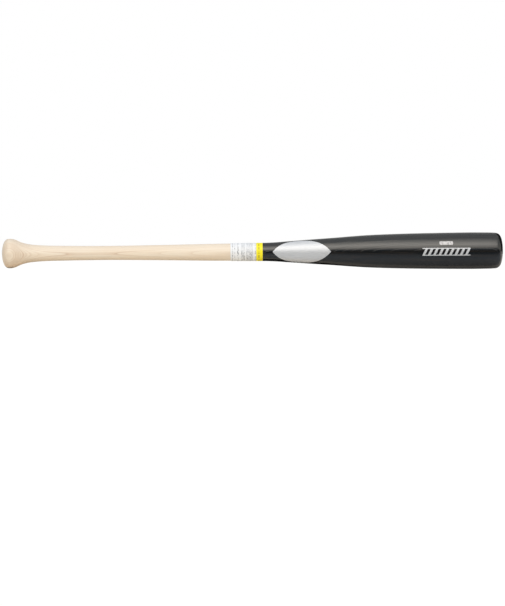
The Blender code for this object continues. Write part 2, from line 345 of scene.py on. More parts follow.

# %% [markdown]
# ## Printed films
#
# The care label is covered in print so fine that from a step away it is only grey rows that run
# round the handle. They are printed fainter over its upper half and bolder below, which is a painted
# highlight. A picture of such rows would have to be drawn and wrapped. Here each row is a thin line,
# broken into dashes by a noise that varies fast along the row. The film carries its own flat
# coordinates, stored before it was rolled round the wood, so a row follows the label even where it
# laps over itself.

# %% Rows of dashes
FLAT = "flat_place"
LINE_SHARE = 0.66
NEXT_ROW = 17.3
NEXT_BLOCK = 5.7
GAP_BELOW = 0.48
INK_ABOVE = 0.54
INK_PATCHES = 110
INK_SPAN = (0.35, 0.65)
PATCHY_INK = 0.4
# Over the upper half of a wrapped film the ink is weakened: a painted highlight, not fainter print.
PAINTED_HIGHLIGHT_INK = 0.6
PAINTED_HIGHLIGHT_UNTIL = 0.036
PAINTED_HIGHLIGHT_ENDS = 0.048


def printed_rows(tree, flat, blocks):
    """How much ink each point has. A block is (start, stop, pitch, dash, fill)."""
    across, around, _ = wire(tree, "ShaderNodeSeparateXYZ", {0: flat}).outputs
    ink = 0.0
    for number, (start, stop, pitch, dash, fill) in enumerate(blocks):
        into = calc(tree, "DIVIDE", calc(tree, "SUBTRACT", across, start), pitch)
        line = calc(tree, "LESS_THAN", calc(tree, "FRACT", into), LINE_SHARE)
        after = calc(tree, "GREATER_THAN", across, start)
        before = calc(tree, "LESS_THAN", across, stop)
        along_row = calc(tree, "DIVIDE", around, dash)
        row = calc(tree, "MULTIPLY_ADD", calc(tree, "FLOOR", into), NEXT_ROW, NEXT_BLOCK * number)
        spot = wire(tree, "ShaderNodeCombineXYZ", {0: along_row, 1: row}).outputs[0]
        word = rescale(tree, noise(tree, spot, 1, 1), GAP_BELOW - fill, INK_ABOVE - fill)
        inked = calc(tree, "MULTIPLY", calc(tree, "MULTIPLY", after, before), line)
        ink = calc(tree, "MAXIMUM", ink, calc(tree, "MULTIPLY", inked, word))
    strength = rescale(tree, noise(tree, flat, INK_PATCHES, 1), *INK_SPAN, PATCHY_INK)
    # Weaker ink over the upper half of a wrapped film and full ink below: painted highlight.
    bolder = rescale(tree, around, -PAINTED_HIGHLIGHT_UNTIL, -PAINTED_HIGHLIGHT_ENDS, PAINTED_HIGHLIGHT_INK)
    return calc(tree, "MULTIPLY", calc(tree, "MULTIPLY", ink, strength), bolder)


# %% A film and its print
MOTTLE = 160
MOTTLE_SHADE = 0.95


def film_finish(name, paper, print_colour, blocks, roughness):
    """A slightly mottled film with rows of print."""
    material, tree, shader = finish(name, Roughness=roughness)
    flat = wire(tree, "ShaderNodeAttribute", attribute_name=FLAT).outputs["Vector"]
    mottle = noise(tree, wire(tree, "ShaderNodeTexCoord").outputs["Object"], MOTTLE, 3)
    darker = tuple(MOTTLE_SHADE * part for part in paper[:3]) + (1,)
    ground = tint(tree, rescale(tree, mottle, *NOISE_SPAN), paper, darker)
    printed = tint(tree, printed_rows(tree, flat, blocks), ground, print_colour)
    tree.links.new(printed, shader.inputs["Base Color"])
    relief(tree, shader, mottle, strength=0.2, distance=0.0001)
    print("finish:", name, "-", len(tree.nodes), "nodes")
    return material


# %% The care label and the yellow band
MM = 0.001
LABEL_PRINT = [
    (2.6 * MM, 4.3 * MM, 2.5 * MM, 1.6 * MM, 0.02),
    (6.6 * MM, 7.8 * MM, 1.8 * MM, 1.2 * MM, 0.02),
    (11.4 * MM, 14.2 * MM, 1.45 * MM, 2.0 * MM, 0.04),
    (18.0 * MM, 24.6 * MM, 1.3 * MM, 0.9 * MM, 0.03),
    (26.4 * MM, 38.1 * MM, 1.3 * MM, 0.9 * MM, 0.03),
    (40.8 * MM, 42.4 * MM, 2.4 * MM, 1.4 * MM, 0.0),
]
BAND_PRINT = [(3.2 * MM, 6.2 * MM, 3.1 * MM, 2.4 * MM, 0.03)]
WHITE_PAPER = (0.79, 0.785, 0.78, 1)
GREY_PRINT = (0.11, 0.11, 0.12, 1)
YELLOW_PAPER = (0.90, 0.765, 0.005, 1)
BROWN_PRINT = (0.20, 0.15, 0.015, 1)
white_film = film_finish("white film", WHITE_PAPER, GREY_PRINT, LABEL_PRINT, roughness=0.5)
yellow_film = film_finish("yellow film", YELLOW_PAPER, BROWN_PRINT, BAND_PRINT, roughness=0.45)

# %% [markdown]
# ## Stamped foil
#
# Hot-stamped foil is a metal layer far thinner than a hair. It follows the lacquer, so it looks
# like brushed silver that is a little milky: part mirror, part plain grey. Fine scratches along
# the bat keep it from looking like chrome. The small tab is stamped from a greyer foil, and thin
# gaps let the lacquer show through. The rows of the films make these gaps too, in lacquer black.

# %% Silver foil
LACQUER_BETWEEN = (0.03, 0.03, 0.03, 1)
TAB_PRINT = [(0.5 * MM, 21.5 * MM, 1.9 * MM, 2.6 * MM, 0.0)]
SCRATCH_SCALE = (60, 1500, 1500)
BRIGHT_SILVER = (0.70, 0.70, 0.705, 1)
DULL_SILVER = (0.61, 0.61, 0.615, 1)
BRIGHT_GREY = (0.56, 0.54, 0.53, 1)
DULL_GREY = (0.48, 0.46, 0.45, 1)


def stamped_foil(name, bright, dull, gaps=()):
    """Brushed metal, with rows of gaps where it has them."""
    material, tree, shader = finish(name, Metallic=0.4, Roughness=0.45)
    place = wire(tree, "ShaderNodeTexCoord").outputs["Object"]
    scratches = noise(tree, place, SCRATCH_SCALE, 3)
    metal = tint(tree, rescale(tree, scratches, *NOISE_SPAN), bright, dull)
    if gaps:
        flat = wire(tree, "ShaderNodeAttribute", attribute_name=FLAT).outputs["Vector"]
        metal = tint(tree, printed_rows(tree, flat, gaps), metal, LACQUER_BETWEEN)
    tree.links.new(metal, shader.inputs["Base Color"])
    relief(tree, shader, scratches, strength=0.15, distance=0.00005)
    print("finish:", name, "-", len(tree.nodes), "nodes")
    return material


silver = stamped_foil("silver foil", BRIGHT_SILVER, DULL_SILVER)
grey_silver = stamped_foil("grey silver foil", BRIGHT_GREY, DULL_GREY, TAB_PRINT)

# %% [markdown]
# ## The outline of the wood
#
# A lathe follows one line, the outline, so that line is the whole shape of the bat. The measured
# wood has a ring of 48 corners at each station, and each ring gives one point of the outline. A
# smooth curve through these points gives as many more as the eye needs. The measured wood rests
# on a flat between two corners. A true round lies that little bit lower, so all radii are drawn in
# by the share that brings it back to the floor.

# %% Outline points from the measured rings
MEASURED_SIDES = 48
SAME_RING = 0.00005
OUTLINE_STEP = 0.0025
DRAW_IN = math.cos(math.pi / MEASURED_SIDES)


def ring_points(node):
    """One (along, radius) for each ring of corners, from the knob to the barrel's end."""
    rings = []
    for along, _, radius in sorted(bench_points(node)):
        if radius < SAME_RING:
            continue
        if not rings or along - rings[-1][0] > SAME_RING:
            rings.append([along, 0.0])
        rings[-1][1] = max(rings[-1][1], radius * DRAW_IN)
    return [Vector(ring) for ring in rings]


def smooth(points, spacing):
    """Points on a curve through the given ones, which leaves each one between its neighbours."""
    runs = [(end - start).length for start, end in zip(points, points[1:])]
    ways = [(end - start).normalized() for start, end in zip(points, points[1:])]
    tangents = [ways[0]]
    for i in range(1, len(runs)):
        tangents.append((ways[i - 1] * runs[i] + ways[i] * runs[i - 1]) / (runs[i - 1] + runs[i]))
    tangents.append(ways[-1])
    curve = []
    for i, run in enumerate(runs):
        steps = math.ceil(run / spacing)
        for step in range(steps):
            t = step / steps
            place = (
                points[i] * (1 + 2 * t) * (1 - t) ** 2 + points[i + 1] * t * t * (3 - 2 * t)
                + tangents[i] * run * t * (1 - t) ** 2 + tangents[i + 1] * run * t * t * (t - 1)
            )
            place.x = min(max(place.x, points[0].x), points[-1].x)
            curve.append(place)
    return curve + [points[-1]]


rings = ring_points("billet")
poles = Vector((rings[0].x, 0)), Vector((rings[-1].x, 0))
WOOD_OUTLINE = smooth([poles[0], *rings, poles[1]], OUTLINE_STEP)
print(f"{len(rings)} measured rings, {len(WOOD_OUTLINE)} points on the smooth outline")

# %% [markdown]
# ## A lathe made of nodes
#
# The Spin tool or a Screw modifier could turn the outline. A node tree does it too, and shows how:
# take a flat grid with a column for each outline point and a row for each side, then wrap it round
# the axis. The outline point says how far along and how far out, and the row says the angle. The
# last row lands on the first and each pole's corners land on one point, so Merge by Distance closes
# the skin. Last, each corner gets the note that the maple reads: how far it faces along the bat.


# %% Helpers to build and use a geometry tree
def geometry_tree(name, sizes):
    """An empty tree with a mesh going in and out, and one named input for each size."""
    tree = bpy.data.node_groups.new(name, "GeometryNodeTree")
    tree.interface.new_socket("Mesh", in_out="OUTPUT", socket_type="NodeSocketGeometry")
    tree.interface.new_socket("Mesh", in_out="INPUT", socket_type="NodeSocketGeometry")
    for label, kind in sizes.items():
        tree.interface.new_socket(label, in_out="INPUT", socket_type="NodeSocket" + kind)
    return tree, tree.nodes.new("NodeGroupInput").outputs


def close_tree(tree, mesh, material):
    """Ends a tree: one smooth mesh with its material."""
    whole = wire(tree, "GeometryNodeRealizeInstances", {0: mesh}).outputs[0]
    shaded = wire(tree, "GeometryNodeSetShadeSmooth", {0: whole}).outputs[0]
    painted = wire(tree, "GeometryNodeSetMaterial", {0: shaded, "Material": material}).outputs[0]
    wire(tree, "NodeGroupOutput", {0: painted})


def add_tree(piece, tree, values):
    """Puts a tree on a piece. A modifier knows its inputs by identifier, which is looked up."""
    modifier = piece.modifiers.new(tree.name, "NODES")
    modifier.node_group = tree
    for item in tree.interface.items_tree:
        if item.in_out == "INPUT" and item.name in values:
            modifier[item.identifier] = values[item.name]


# %% Helpers to start and settle a piece
SHARP_ANGLE = math.radians(35)


def new_piece(name, corners, edges=(), faces=()):
    """A new object from its corners, edges and faces."""
    mesh = bpy.data.meshes.new(name)
    mesh.from_pydata(corners, edges, faces)
    piece = bpy.data.objects.new(name, mesh)
    bpy.context.scene.collection.objects.link(piece)
    return piece


def freeze(piece):
    """Replaces a piece's mesh by what its modifiers made, and takes the modifiers off."""
    settled = piece.evaluated_get(bpy.context.evaluated_depsgraph_get())
    mesh = bpy.data.meshes.new_from_object(settled)
    piece.modifiers.clear()
    piece.data = mesh
    mesh.set_sharp_from_angle(angle=SHARP_ANGLE)
    mesh.calc_loop_triangles()
    print(f"{piece.name}: {len(mesh.vertices)} corners, {len(mesh.loop_triangles)} triangles")
    return piece


# %% The lathe
SAME_CORNER = 1e-6
LATHE, inputs = geometry_tree("lathe", {"Sides": "Int", "Material": "Material"})
outline, sides, material = inputs["Mesh"], inputs["Sides"], inputs["Material"]
stations = wire(LATHE, "GeometryNodeAttributeDomainSize", {0: outline}).outputs["Point Count"]
rows = calc(LATHE, "ADD", sides, 1)
grid = wire(
    LATHE, "GeometryNodeMeshGrid",
    {"Size X": 1, "Size Y": 1, "Vertices X": stations, "Vertices Y": rows},
).outputs["Mesh"]
spot = wire(LATHE, "GeometryNodeInputPosition").outputs[0]
across, up, _ = wire(LATHE, "ShaderNodeSeparateXYZ", {0: spot}).outputs
share = calc(LATHE, "ADD", across, 0.5)
last = calc(LATHE, "SUBTRACT", stations, 1)
station = calc(LATHE, "ROUND", calc(LATHE, "MULTIPLY", share, last))
turn = calc(LATHE, "MULTIPLY_ADD", up, 2 * math.pi, math.pi)
drawn = wire(
    LATHE, "GeometryNodeSampleIndex",
    {"Geometry": outline, "Index": station}, data_type="FLOAT_VECTOR",
)
LATHE.links.new(spot, drawn.inputs["Value"])
along, radius, _ = wire(LATHE, "ShaderNodeSeparateXYZ", {0: drawn.outputs[0]}).outputs
front = calc(LATHE, "MULTIPLY", radius, calc(LATHE, "SINE", turn))
height = calc(LATHE, "MULTIPLY", radius, calc(LATHE, "COSINE", turn))
wrapped = wire(LATHE, "ShaderNodeCombineXYZ", {0: along, 1: front, 2: height}).outputs[0]
skin = wire(LATHE, "GeometryNodeSetPosition", {"Geometry": grid, "Position": wrapped}).outputs[0]
closed = wire(LATHE, "GeometryNodeMergeByDistance", {0: skin, "Distance": SAME_CORNER}).outputs[0]
facing = wire(LATHE, "GeometryNodeInputNormal").outputs[0]
lengthways = wire(LATHE, "ShaderNodeSeparateXYZ", {0: facing}).outputs[0]
noted = wire(
    LATHE, "GeometryNodeStoreNamedAttribute",
    {"Geometry": closed, "Name": END_GRAIN}, data_type="FLOAT", domain="POINT",
)
LATHE.links.new(calc(LATHE, "ABSOLUTE", lengthways), noted.inputs["Value"])
close_tree(LATHE, noted.outputs[0], material)
print("lathe tree:", len(LATHE.nodes), "nodes")

# %% Turn the wood
ROUND_SIDES = 128


def turned(name, outline, material):
    """The outline goes in as a bare line of corners and comes out as a closed round piece."""
    corners = [(point.x, point.y, 0.0) for point in outline]
    piece = new_piece(name, corners, [(i, i + 1) for i in range(len(corners) - 1)])
    add_tree(piece, LATHE, {"Sides": ROUND_SIDES, "Material": material})
    return freeze(piece)


wood = turned("turned_billet", WOOD_OUTLINE, maple)

# %% [markdown]
# ## The lacquer coat
#
# The lacquer is a skin of even thickness that starts at the paint line and closes over the end of
# the barrel. Its outline is the wood's outline, pushed out square to itself by two distances: once
# for its inner face and once for its outer face. At the paint line the outer corner is eased, as
# wet lacquer would leave it, and that edge catches the light.

# %% Turn the lacquer coat
SEAT_GAP = 0.0003
COAT_FILM = 0.0003
EASED = 0.00012


def pushed_out(points, distance):
    """The line moved sideways, away from the axis. Its last point stays on the axis."""
    moved = []
    for i, point in enumerate(points):
        way = points[min(i + 1, len(points) - 1)] - points[max(i - 1, 0)]
        moved.append(point + Vector((-way.y, way.x)).normalized() * distance)
    moved[-1] = Vector((points[-1].x + distance, 0))
    return moved


covered = [point for point in WOOD_OUTLINE if point.x > COAT_START + 2 * EASED]
paint_line = Vector((COAT_START, covered[0].y))
inner = [paint_line + Vector((0, SEAT_GAP))] + pushed_out(covered, SEAT_GAP)
outer_face = pushed_out(covered, SEAT_GAP + COAT_FILM)
lip = [
    paint_line + Vector((0, SEAT_GAP + COAT_FILM - EASED)),
    paint_line + Vector((EASED / 3, SEAT_GAP + COAT_FILM - EASED / 3)),
    paint_line + Vector((EASED, SEAT_GAP + COAT_FILM)),
]
coat = turned("lacquer_coat", inner[::-1] + lip + outer_face, lacquer)

# %% [markdown]
# ## Rolling a film on
#
# Labels, bands and foils are cut flat and then laid round the bat, so they are made that way here.
# Each starts as a flat sheet that is drawn as it is seen from outside: along the bat to the right,
# round the bat upwards. The film tree looks for the surface under each corner with a ray that
# falls on the bat from above, so the film sits on what is really there, whatever its taper. Then
# it turns the distance round the bat into an angle, and extrudes the sheet into a thin solid.

# %% The film tree: flat places and the surface below
RAY_FROM = 0.1
FILM, inputs = geometry_tree("film", {
    "Seat": "Object", "Left edge": "Float", "Centre angle": "Float", "Roll radius": "Float",
    "Gap": "Float", "Thickness": "Float", "Material": "Material",
})
spot = wire(FILM, "GeometryNodeInputPosition").outputs[0]
left_edge = wire(FILM, "ShaderNodeCombineXYZ", {0: inputs["Left edge"]}).outputs[0]
on_sheet = wire(FILM, "ShaderNodeVectorMath", {0: spot, 1: left_edge}, operation="SUBTRACT")
noted = wire(
    FILM, "GeometryNodeStoreNamedAttribute",
    {"Geometry": inputs["Mesh"], "Name": FLAT}, data_type="FLOAT_VECTOR", domain="POINT",
)
FILM.links.new(on_sheet.outputs[0], noted.inputs["Value"])
flat_along, flat_round, lift = wire(FILM, "ShaderNodeSeparateXYZ", {0: spot}).outputs
seat = wire(FILM, "GeometryNodeObjectInfo", {"Object": inputs["Seat"]}).outputs["Geometry"]
above = wire(FILM, "ShaderNodeCombineXYZ", {0: flat_along, 2: RAY_FROM}).outputs[0]
ray = wire(FILM, "GeometryNodeRaycast", {
    "Target Geometry": seat, "Source Position": above,
    "Ray Direction": (0, 0, -1), "Ray Length": RAY_FROM,
})
surface = wire(FILM, "ShaderNodeSeparateXYZ", {0: ray.outputs["Hit Position"]}).outputs[2]
seated = calc(FILM, "ADD", surface, inputs["Gap"])
print("film tree so far:", len(FILM.nodes), "nodes")

# %% The film tree: rolled and given its thickness
rolls_on = wire(
    FILM, "GeometryNodeSwitch",
    {"Switch": calc(FILM, "GREATER_THAN", inputs["Roll radius"], 0.0),
     "False": seated, "True": inputs["Roll radius"]}, input_type="FLOAT",
).outputs[0]
angle = calc(FILM, "SUBTRACT", inputs["Centre angle"], calc(FILM, "DIVIDE", flat_round, rolls_on))
radius = calc(FILM, "ADD", seated, lift)
front = calc(FILM, "MULTIPLY", calc(FILM, "MULTIPLY", radius, -1.0), calc(FILM, "SINE", angle))
height = calc(FILM, "MULTIPLY", radius, calc(FILM, "COSINE", angle))
rolled = wire(FILM, "ShaderNodeCombineXYZ", {0: flat_along, 1: front, 2: height}).outputs[0]
sheet = wire(
    FILM, "GeometryNodeSetPosition", {"Geometry": noted.outputs[0], "Position": rolled},
).outputs[0]
joined = wire(FILM, "GeometryNodeMergeByDistance", {0: sheet, "Distance": SAME_CORNER}).outputs[0]
raised = wire(
    FILM, "GeometryNodeExtrudeMesh",
    {"Mesh": joined, "Offset Scale": inputs["Thickness"], "Individual": False}, mode="FACES",
).outputs["Mesh"]
underside = wire(FILM, "GeometryNodeFlipFaces", {0: joined}).outputs[0]
both = wire(FILM, "GeometryNodeJoinGeometry")
FILM.links.new(raised, both.inputs[0])
FILM.links.new(underside, both.inputs[0])
solid = wire(FILM, "GeometryNodeMergeByDistance", {0: both.outputs[0], "Distance": SAME_CORNER})
close_tree(FILM, solid.outputs[0], inputs["Material"])
print("film tree:", len(FILM.nodes), "nodes")


# %% Flat sheets
def flat_sheet(name, columns):
    """A sheet from columns of corners, given left to right and each from the bottom up."""
    rows = len(columns[0])
    corners = [corner for column in columns for corner in column]
    faces = []
    for here in range(0, len(corners) - rows, rows):
        for low in range(here, here + rows - 1):
            faces.append((low, low + rows, low + rows + 1, low + 1))
    return new_piece(name, corners, faces=faces)


# %% [markdown]
# ## The wrapped label and band
#
# Each wrap starts at the back, goes once round the handle, climbs a short ramp and laps over its
# own start. Its third coordinate is that climb.

# %% Wrap the label and the band
LABEL_FILM = 0.0003
LAP_LENGTH = 0.008
LAP_RAMP = 0.005
BACK = math.radians(270)
WRAP_STEPS = ROUND_SIDES + 8
WRAP_STRIPS = 2


def wrapped_film(name, node, material):
    """A strip as wide as the measured piece, long enough to go round and lap."""
    start, stop = reach(node)
    seat_radius = [point.y for point in WOOD_OUTLINE if point.x >= (start + stop) / 2][0] + SEAT_GAP
    girth = 2 * math.pi * seat_radius
    columns = []
    for strip in range(WRAP_STRIPS + 1):
        along = start + (stop - start) * strip / WRAP_STRIPS
        column = []
        for step in range(WRAP_STEPS + 1):
            gone = (girth + LAP_LENGTH) * step / WRAP_STEPS
            climb = min(max((gone - girth) / LAP_RAMP + 1, 0.0), 1.0)
            column.append((along, -gone, (LABEL_FILM + SEAT_GAP) * climb))
        columns.append(column[::-1])
    piece = flat_sheet(name, columns)
    add_tree(piece, FILM, {
        "Seat": wood, "Left edge": start, "Centre angle": BACK, "Roll radius": seat_radius,
        "Gap": SEAT_GAP, "Thickness": LABEL_FILM, "Material": material,
    })
    return freeze(piece)


label = wrapped_film("care_label_wrap", "care_label", white_film)
band = wrapped_film("yellow_band_wrap", "yellow_band", yellow_film)

# %% [markdown]
# ## The foils
#
# The foil on the taper is a plain pointed oval, which two arcs bound, and the small one near the
# end is a tab with round corners. Both are cut from a sheet whose height changes from column to
# column. Their places and lengths are read off the measured foils.

# %% Where each foil sits
FOIL_FILM = 0.0002


def foil_place(node):
    """The foil's start and stop along the bat, and the angle that it faces."""
    angles = [angle for _, angle, _ in bench_points(node)]
    return *reach(node), (min(angles) + max(angles)) / 2


def foil(name, node, columns, material):
    """Rolls a cut foil onto the lacquer, where the measured one is."""
    start, stop, angle = foil_place(node)
    piece = flat_sheet(name, columns)
    add_tree(piece, FILM, {
        "Seat": coat, "Left edge": start, "Centre angle": angle, "Gap": SEAT_GAP,
        "Thickness": FOIL_FILM, "Material": material,
    })
    print(f"{name}: {1000 * (stop - start):.1f} mm, {math.degrees(angle):.1f} degrees from the top")
    return freeze(piece)


def column_at(along, half_height, rows):
    """One column of a sheet, the same way up and down from its middle."""
    return [(along, half_height * (2 * row / rows - 1), 0.0) for row in range(rows + 1)]


# %% Cut the oval
OVAL_HALF_WIDTH = 0.023
OVAL_HALF_STEPS = 32
OVAL_ROWS = 24

start, stop, _ = foil_place("lens_foil")
half_length = (stop - start) / 2
arc = (half_length**2 + OVAL_HALF_WIDTH**2) / (2 * OVAL_HALF_WIDTH)
columns = []
for step in range(2 * OVAL_HALF_STEPS + 1):
    from_middle = half_length * (step / OVAL_HALF_STEPS - 1)
    rise = math.sqrt(arc**2 - from_middle**2) - arc + OVAL_HALF_WIDTH
    columns.append(column_at((start + stop) / 2 + from_middle, max(rise, 0.0), OVAL_ROWS))
oval = foil("oval_foil", "lens_foil", columns, silver)

# %% Cut the tab
TAB_HALF_WIDTH = 0.0032
TAB_CORNER = 0.0016
CORNER_STEPS = 8
TAB_ROWS = 8

start, stop, _ = foil_place("tab_foil")
rounded = []
for step in range(CORNER_STEPS + 1):
    turn = math.pi / 2 * step / CORNER_STEPS
    inset = TAB_CORNER * (1 - math.cos(turn))
    rounded.append((inset, TAB_HALF_WIDTH - TAB_CORNER * (1 - math.sin(turn))))
columns = [column_at(start + inset, half, TAB_ROWS) for inset, half in rounded]
columns += [column_at(stop - inset, half, TAB_ROWS) for inset, half in rounded[::-1]]
tab = foil("tab_foil_stamp", "tab_foil", columns, grey_silver)

# %% [markdown]
# ## The rope border
#
# The longest foil on the barrel is a rope border, an old pattern for edges: slanted bars between
# two rules. What repeats is best left to a node tree. The border starts as a grid with two columns
# for each bar, one line for its left edge and one for its right. Between the rules the lines lean
# over, along the rules they stand straight, and the cells between two bars are deleted.

# %% The rope border tree: its grid and its slanted lines
ROPE_ROWS = 26
ROPE, inputs = geometry_tree("rope border", {
    "Start": "Float", "Length": "Float", "Height": "Float", "Rule": "Float", "Bars": "Int",
    "Bar width": "Float", "Slant": "Float", "Material": "Material",
})
length, slant, bar_width = inputs["Length"], inputs["Slant"], inputs["Bar width"]
edges = calc(ROPE, "MULTIPLY", inputs["Bars"], 2)
grid = wire(ROPE, "GeometryNodeMeshGrid", {
    "Size X": 1, "Size Y": inputs["Height"],
    "Vertices X": calc(ROPE, "ADD", edges, 2), "Vertices Y": ROPE_ROWS + 1,
}).outputs["Mesh"]
spot = wire(ROPE, "GeometryNodeInputPosition").outputs[0]
across, up, _ = wire(ROPE, "ShaderNodeSeparateXYZ", {0: spot}).outputs
share = calc(ROPE, "ADD", across, 0.5)
column = calc(ROPE, "MULTIPLY", share, calc(ROPE, "ADD", edges, 1))
line = calc(ROPE, "ROUND", column)
bar_height = calc(ROPE, "MULTIPLY_ADD", inputs["Rule"], -2.0, inputs["Height"])
level = calc(ROPE, "ADD", calc(ROPE, "DIVIDE", up, bar_height), 0.5)
held_level = wire(ROPE, "ShaderNodeClamp", {"Value": level}).outputs[0]
lean = calc(ROPE, "MULTIPLY", held_level, slant)
bar = calc(ROPE, "FLOOR", calc(ROPE, "DIVIDE", calc(ROPE, "SUBTRACT", line, 1), 2))
right = calc(ROPE, "MODULO", calc(ROPE, "ADD", line, 1), 2)
room = calc(ROPE, "SUBTRACT", calc(ROPE, "SUBTRACT", length, slant), bar_width)
pitch = calc(ROPE, "DIVIDE", room, calc(ROPE, "SUBTRACT", inputs["Bars"], 1))
foot = calc(ROPE, "MULTIPLY_ADD", bar, pitch, calc(ROPE, "MULTIPLY", right, bar_width))
leaning = calc(ROPE, "ADD", foot, lean)
print("rope tree so far:", len(ROPE.nodes), "nodes")

# %% The rope border tree: its two ends and the cells to delete
limits = {"Value": leaning, "Min": 0.0, "Max": length}
inside = wire(ROPE, "ShaderNodeClamp", limits).outputs[0]
not_first = calc(ROPE, "GREATER_THAN", line, 0.5)
is_last = calc(ROPE, "GREATER_THAN", line, calc(ROPE, "ADD", edges, 0.5))
held = calc(ROPE, "MULTIPLY", inside, not_first)
held = calc(ROPE, "MAXIMUM", held, calc(ROPE, "MULTIPLY", is_last, length))
from_knob = calc(ROPE, "ADD", inputs["Start"], held)
flat = wire(ROPE, "ShaderNodeCombineXYZ", {0: from_knob, 1: up}).outputs[0]
half_bar = calc(ROPE, "MULTIPLY", bar_height, 0.5)
between = calc(ROPE, "LESS_THAN", calc(ROPE, "ABSOLUTE", up), half_bar)
even = calc(ROPE, "LESS_THAN", calc(ROPE, "MODULO", calc(ROPE, "FLOOR", column), 2), 0.5)
cut = wire(
    ROPE, "GeometryNodeDeleteGeometry",
    {"Geometry": grid, "Selection": calc(ROPE, "MULTIPLY", between, even)}, domain="FACE",
).outputs[0]
placed = wire(ROPE, "GeometryNodeSetPosition", {"Geometry": cut, "Position": flat}).outputs[0]
welded = wire(ROPE, "GeometryNodeMergeByDistance", {0: placed, "Distance": SAME_CORNER}).outputs[0]
close_tree(ROPE, welded, inputs["Material"])
print("rope tree:", len(ROPE.nodes), "nodes")

# %% Cut and roll the rope border
start, stop, angle = foil_place("rope_foil")
rope = new_piece("rope_border_foil", [(0, 0, 0)])
add_tree(rope, ROPE, {
    "Start": start, "Length": stop - start, "Height": 0.013, "Rule": 0.0014,
    "Bars": 9, "Bar width": 0.0042, "Slant": 0.005, "Material": silver,
})
add_tree(rope, FILM, {
    "Seat": coat, "Left edge": start, "Centre angle": angle, "Gap": SEAT_GAP,
    "Thickness": FOIL_FILM, "Material": silver,
})
freeze(rope)

# %% [markdown]
# ## Laying the bat down
#
# All pieces were made on the bench. LAY moves their corners, not their objects, to where the
# measured bat lies: each object stays at the origin, unturned, so that patterns on its coordinates
# stay in place wherever the model is used. Each new piece then takes the place of its measured one.

# %% Lay down and hand over
DRESSED = [
    (wood, "billet", "bare_wood"),
    (coat, "barrel_coat", "black_lacquer"),
    (label, "care_label", "white_film"),
    (band, "yellow_band", "yellow_film"),
    (oval, "lens_foil", "silver_foil"),
    (rope, "rope_foil", "silver_foil"),
    (tab, "tab_foil", "silver_foil"),
]
for piece, node, slot in DRESSED:
    piece.data.transform(LAY)
    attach(piece, "root")
    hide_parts(node)
    print(f"{piece.name} stands for {node}")

# %% [markdown]
# ## The floor
#
# The photograph's ground is pure white. A floor that is only painted white turns grey where less
# light falls, and more light would bleach the bat. So the floor glows for the camera, and for
# everything else it is plain paper: it looks white, and still takes the bat's soft shadow. The
# paper is slightly warm, because light that comes back from it warms the underside of the handle.
# Mirrors see it with only a trace of the glow, since the black lacquer mirrors a dimmer floor than
# the camera sees. The Light Path node tells these rays apart.

# %% The floor
FLOOR_REACH = 30.0
FLOOR_DROP = 0.0002
FLOOR_ALBEDO = (0.89, 0.81, 0.69, 1)
CAMERA_GLOW = 0.85
MIRROR_GLOW = 0.1
GLOW = 1.1


def path_of_light(tree):
    """What kind of ray is asking."""
    return wire(tree, "ShaderNodeLightPath").outputs


CORNERS = [(-1, -1), (1, -1), (1, 1), (-1, 1)]
floor = new_piece(
    "studio_floor", [(x * FLOOR_REACH, y * FLOOR_REACH, -FLOOR_DROP) for x, y in CORNERS],
    faces=[(0, 1, 2, 3)],
)
paper = bpy.data.materials.new("white paper")
paper.use_nodes = True
tree = paper.node_tree
tree.nodes.clear()
path = path_of_light(tree)
direct = calc(tree, "MAXIMUM", path["Is Camera Ray"], path["Is Transmission Ray"])
seen = calc(tree, "MULTIPLY", direct, CAMERA_GLOW)
mirrored = calc(tree, "MULTIPLY", path["Is Glossy Ray"], MIRROR_GLOW)
share = calc(tree, "MAXIMUM", seen, mirrored)
dull = wire(tree, "ShaderNodeBsdfDiffuse", {"Color": FLOOR_ALBEDO}).outputs[0]
glow = wire(tree, "ShaderNodeEmission", {"Strength": GLOW}).outputs[0]
mixed = wire(tree, "ShaderNodeMixShader", {0: share, 1: dull, 2: glow}).outputs[0]
wire(tree, "ShaderNodeOutputMaterial", {0: mixed})
floor.data.materials.append(paper)
floor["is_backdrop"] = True
print(f"the floor lies {1000 * FLOOR_DROP:.1f} mm below the bat")

# %% [markdown]
# ## The surroundings
#
# The world has three jobs, and Light Path keeps them apart as well. The camera sees plain white.
# The bat is lit by a soft, slightly cool sky, which balances the warm lamp. Mirrors see a room: a
# light wall that turns into a dimmer ceiling, and the ceiling is lighter near the lamp.

# %% The world
WHITE = (1, 1, 1, 1)
SKY_LIGHT = (0.72, 0.79, 0.88, 1)
MIRRORED_WALL = (0.84, 0.83, 0.79, 1)
MIRRORED_CEILING = (0.34, 0.36, 0.37, 1)
MIRRORED_NEAR_LAMP = (0.62, 0.66, 0.69, 1)
WALL_UNTIL = 0.15
CEILING_FROM = 0.6
DIM_BEHIND = 0.8
LIGHT_ABOVE = -0.05

world = bpy.data.worlds.new("studio")
world.use_nodes = True
bpy.context.scene.world = world
tree = world.node_tree
tree.nodes.clear()
path = path_of_light(tree)
seen = calc(tree, "MAXIMUM", path["Is Camera Ray"], path["Is Transmission Ray"])
direction = wire(tree, "ShaderNodeTexCoord").outputs["Generated"]
_, backwards, upwards = wire(tree, "ShaderNodeSeparateXYZ", {0: direction}).outputs
near_lamp = rescale(tree, backwards, DIM_BEHIND, LIGHT_ABOVE)
ceiling = tint(tree, near_lamp, MIRRORED_CEILING, MIRRORED_NEAR_LAMP)
mirrored = tint(tree, rescale(tree, upwards, WALL_UNTIL, CEILING_FROM), MIRRORED_WALL, ceiling)
colour = tint(tree, path["Is Glossy Ray"], tint(tree, seen, SKY_LIGHT, WHITE), mirrored)
sky = wire(tree, "ShaderNodeBackground", {"Color": colour, "Strength": 1.0})
wire(tree, "ShaderNodeOutputWorld", {0: sky.outputs[0]})
